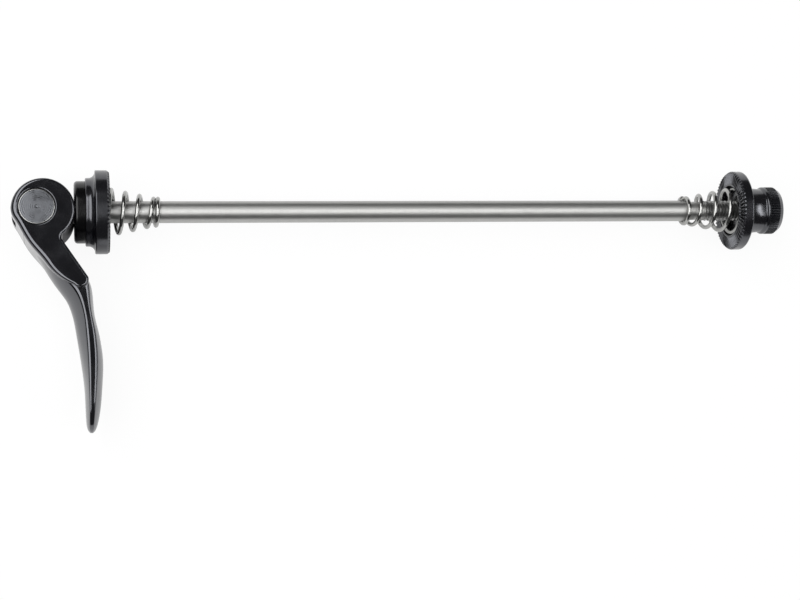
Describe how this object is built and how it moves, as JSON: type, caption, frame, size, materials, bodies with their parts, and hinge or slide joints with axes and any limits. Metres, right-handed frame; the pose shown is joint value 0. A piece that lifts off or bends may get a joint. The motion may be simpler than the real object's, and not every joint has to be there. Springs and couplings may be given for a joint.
{
  "type": "quick-release wheel skewer",
  "caption": "Quick-release wheel skewer: a cam lever on a steel rod with a flanged end cap, conical springs and a knurled adjusting nut clamp a wheel's hub in the dropouts.",
  "frame": {"origin": "on the rod's axis, in the clamp plane of the lever side's end cap", "axes": "+X along the rod towards the nut, +Z along the lever's pivot and up as the skewer lies, lever towards -Y"},
  "size_m": [0.1827, 0.0592, 0.019],
  "materials": {
    "lever": "polished black anodised",
    "barrel": "turned",
    "rod": "satin ground",
    "shoe": "matte moulded",
    "cap": "gloss black anodised",
    "spring": "bright drawn wire",
    "nut": "gloss black anodised",
    "insert": "nylon"
  },
  "bodies": {
    "rod": {"skewer_rod": "rod", "cam_barrel": "barrel"},
    "lever": {"lever": "lever"},
    "cap": {"end_cap": "cap", "cam_shoe": "shoe", "lever_spring": "spring"},
    "nut_spring": {"nut_spring": "spring"},
    "nut": {"adjusting_nut": "nut", "nut_lock_insert": "insert"}
  },
  "joints": [
    {"name": "lever_pivot", "type": "hinge", "parent": "rod", "child": "lever", "pos_m": [-0.016, 0, 0], "axis": [0, 0, -1], "range_deg": [0, 180]},
    {"name": "cap_slide", "type": "slide", "parent": "rod", "child": "cap", "axis": [1, 0, 0], "range_m": [0, 0.114]},
    {"name": "nut_travel", "type": "slide", "parent": "rod", "child": "nut_spring", "axis": [1, 0, 0], "range_m": [-0.0088, 0.008]},
    {"name": "nut_spin", "type": "hinge", "parent": "nut_spring", "child": "nut", "pos_m": [0.149, 0, 0], "axis": [1, 0, 0], "range_deg": [-3960, 3600]}
  ],
  "couplings": [
    {"joint": "nut_travel", "follows": "nut_spin", "m_per_rad": 0.00012732}
  ]
}
